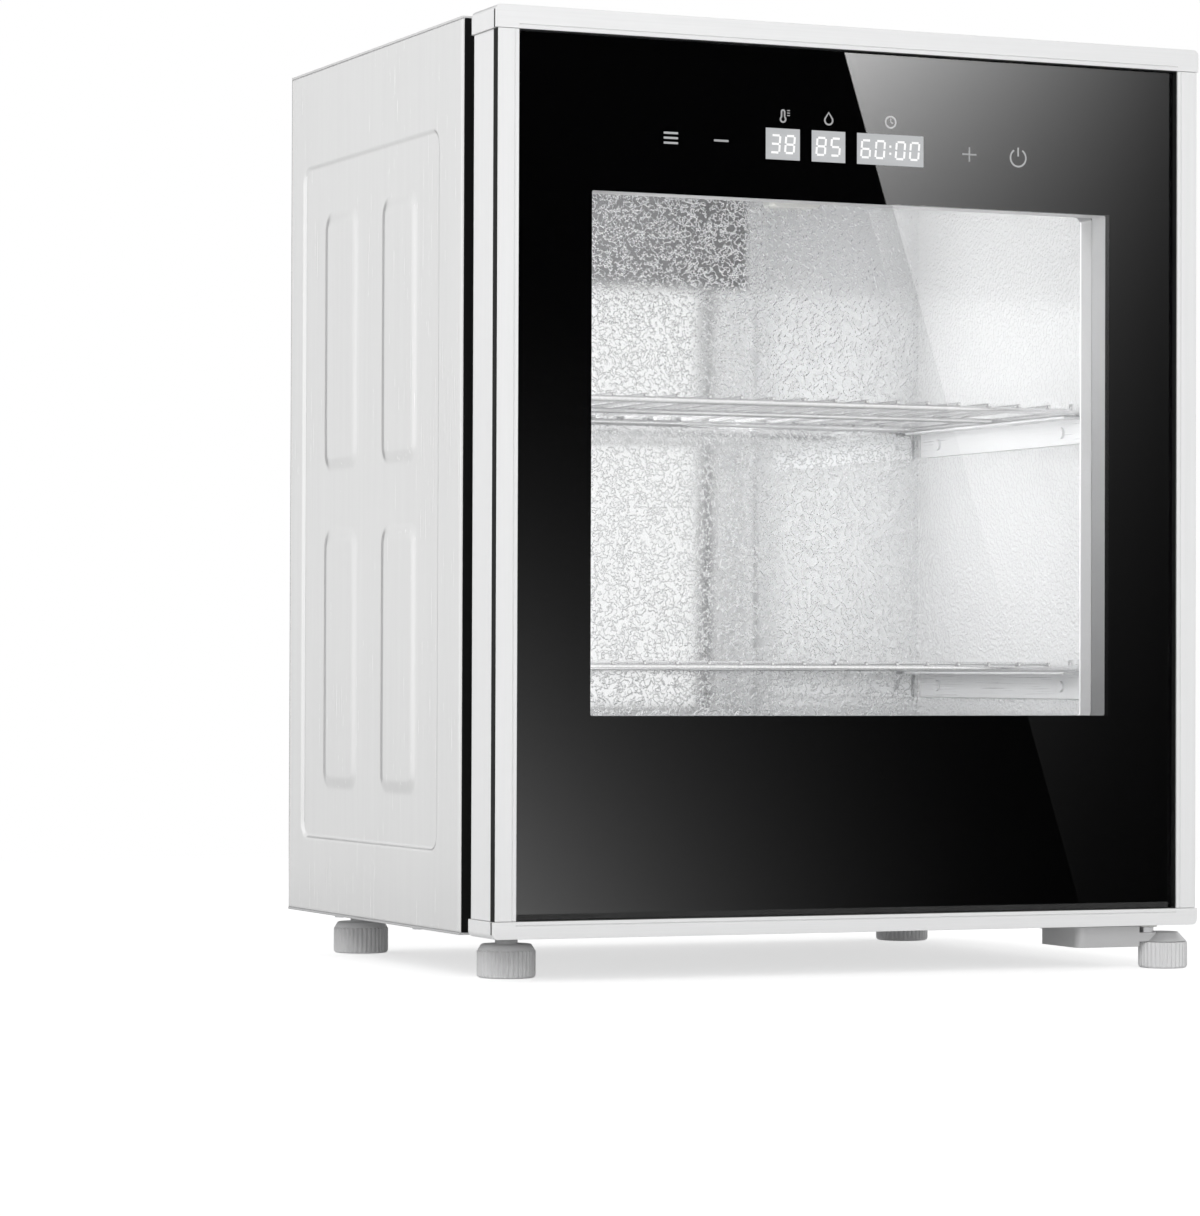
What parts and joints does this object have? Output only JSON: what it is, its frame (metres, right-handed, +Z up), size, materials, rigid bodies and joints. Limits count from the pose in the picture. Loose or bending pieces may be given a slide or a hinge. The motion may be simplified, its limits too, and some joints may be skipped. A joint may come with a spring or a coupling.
{
  "type": "dough proofer",
  "caption": "Counter-top dough proofer: insulated metal cabinet, side-hinged black glass door with touch controls, wire shelves, water tray, fan and levelling feet.",
  "frame": {"origin": "centre of the bounding box of the whole appliance with the door shut, on the surface its feet stand on", "axes": "+X to the appliance's right as seen from the front, +Y from the door to the back, +Z up"},
  "size_m": [0.416, 0.3164, 0.504],
  "materials": {
    "brushed_stainless": "brushed",
    "brushed_aluminium": "brushed",
    "embossed_aluminium": "stucco embossed",
    "black_plastic": "matt",
    "grey_plastic": "matt",
    "white_plastic": "satin",
    "lamp_diffuser": "translucent",
    "front_glass": "clear",
    "inner_pane": "clear",
    "black_print": "gloss",
    "display_glow": "backlit",
    "seal_rubber": "matt",
    "chromed_wire": "polished",
    "zinc_steel": "satin",
    "pin_steel": "polished",
    "mineral_wool": "fibrous",
    "circuit_board": "satin",
    "heater_sheath": "satin",
    "foot_plastic": "matt"
  },
  "bodies": {
    "cabinet": {"base_pan": "zinc_steel", "cavity_lamp": "lamp_diffuser", "climate_sensor": "white_plastic", "element_clips": "zinc_steel", "fan_cover": "brushed_aluminium", "fan_motor": "zinc_steel", "front_frame": "black_plastic", "heating_element": "heater_sheath", "hinge_screws": "pin_steel", "insulation_bottom": "mineral_wool", "insulation_left": "mineral_wool", "insulation_rear": "mineral_wool", "insulation_right": "mineral_wool", "insulation_top": "mineral_wool", "left_side_panel": "brushed_stainless", "liner_back": "embossed_aluminium", "liner_ceiling": "embossed_aluminium", "liner_floor": "embossed_aluminium", "liner_left": "embossed_aluminium", "liner_right": "embossed_aluminium", "lower_hinge_bracket": "zinc_steel", "lower_hinge_pin": "pin_steel", "lower_rails": "brushed_aluminium", "mains_inlet": "black_plastic", "panel_screws": "pin_steel", "power_board": "circuit_board", "rail_screws": "pin_steel", "rear_panel": "zinc_steel", "right_side_panel": "brushed_stainless", "service_plate": "zinc_steel", "top_panel": "brushed_stainless", "tray_runners": "brushed_aluminium", "upper_hinge_bracket": "zinc_steel", "upper_rails": "brushed_aluminium"},
    "door": {"door_stile_left": "brushed_aluminium", "door_stile_right": "brushed_aluminium", "stile_strip_left": "black_plastic", "stile_strip_right": "black_plastic", "door_top_cap": "brushed_aluminium", "door_bottom_cap": "brushed_aluminium", "outer_glass": "front_glass", "black_mask": "black_print", "spacer_frame": "brushed_aluminium", "inner_glass": "inner_pane", "door_inner_frame": "grey_plastic", "door_gasket": "seal_rubber", "control_board": "circuit_board", "lower_hinge_bush": "white_plastic", "upper_hinge_bush": "white_plastic", "display_temperature": "display_glow", "display_humidity": "display_glow", "display_timer": "display_glow"},
    "fan": {"fan_rotor": "brushed_aluminium"},
    "shelf_upper": {"upper_shelf": "chromed_wire"},
    "shelf_lower": {"lower_shelf": "chromed_wire"},
    "tray": {"water_tray": "brushed_stainless"},
    "foot_front_left": {"foot_front_left": "foot_plastic"},
    "foot_rear_left": {"foot_rear_left": "foot_plastic"},
    "foot_rear_right": {"foot_rear_right": "foot_plastic"},
    "foot_hinge": {"foot_hinge": "foot_plastic"}
  },
  "joints": [
    {"name": "door_hinge", "type": "hinge", "parent": "cabinet", "child": "door", "pos_m": [0.1835, -0.14515, 0.024], "axis": [0, 0, 1], "range_deg": [0, 98]},
    {"name": "fan_spin", "type": "hinge", "parent": "cabinet", "child": "fan", "pos_m": [0, 0.11515, 0.093], "axis": [0, 1, 0], "continuous": true},
    {"name": "upper_shelf_slide", "type": "slide", "parent": "cabinet", "child": "shelf_upper", "axis": [0, -1, 0], "range_m": [0, 0.018]},
    {"name": "lower_shelf_slide", "type": "slide", "parent": "cabinet", "child": "shelf_lower", "axis": [0, -1, 0], "range_m": [0, 0.018]},
    {"name": "tray_slide", "type": "slide", "parent": "cabinet", "child": "tray", "axis": [0, -1, 0], "range_m": [0, 0.03]},
    {"name": "foot_front_left_screw", "type": "slide", "parent": "cabinet", "child": "foot_front_left", "axis": [0, 0, -1], "range_m": [0, 0.008]},
    {"name": "foot_rear_left_screw", "type": "slide", "parent": "cabinet", "child": "foot_rear_left", "axis": [0, 0, -1], "range_m": [0, 0.008]},
    {"name": "foot_rear_right_screw", "type": "slide", "parent": "cabinet", "child": "foot_rear_right", "axis": [0, 0, -1], "range_m": [0, 0.008]},
    {"name": "foot_hinge_screw", "type": "slide", "parent": "cabinet", "child": "foot_hinge", "axis": [0, 0, -1], "range_m": [0, 0.003]}
  ]
}
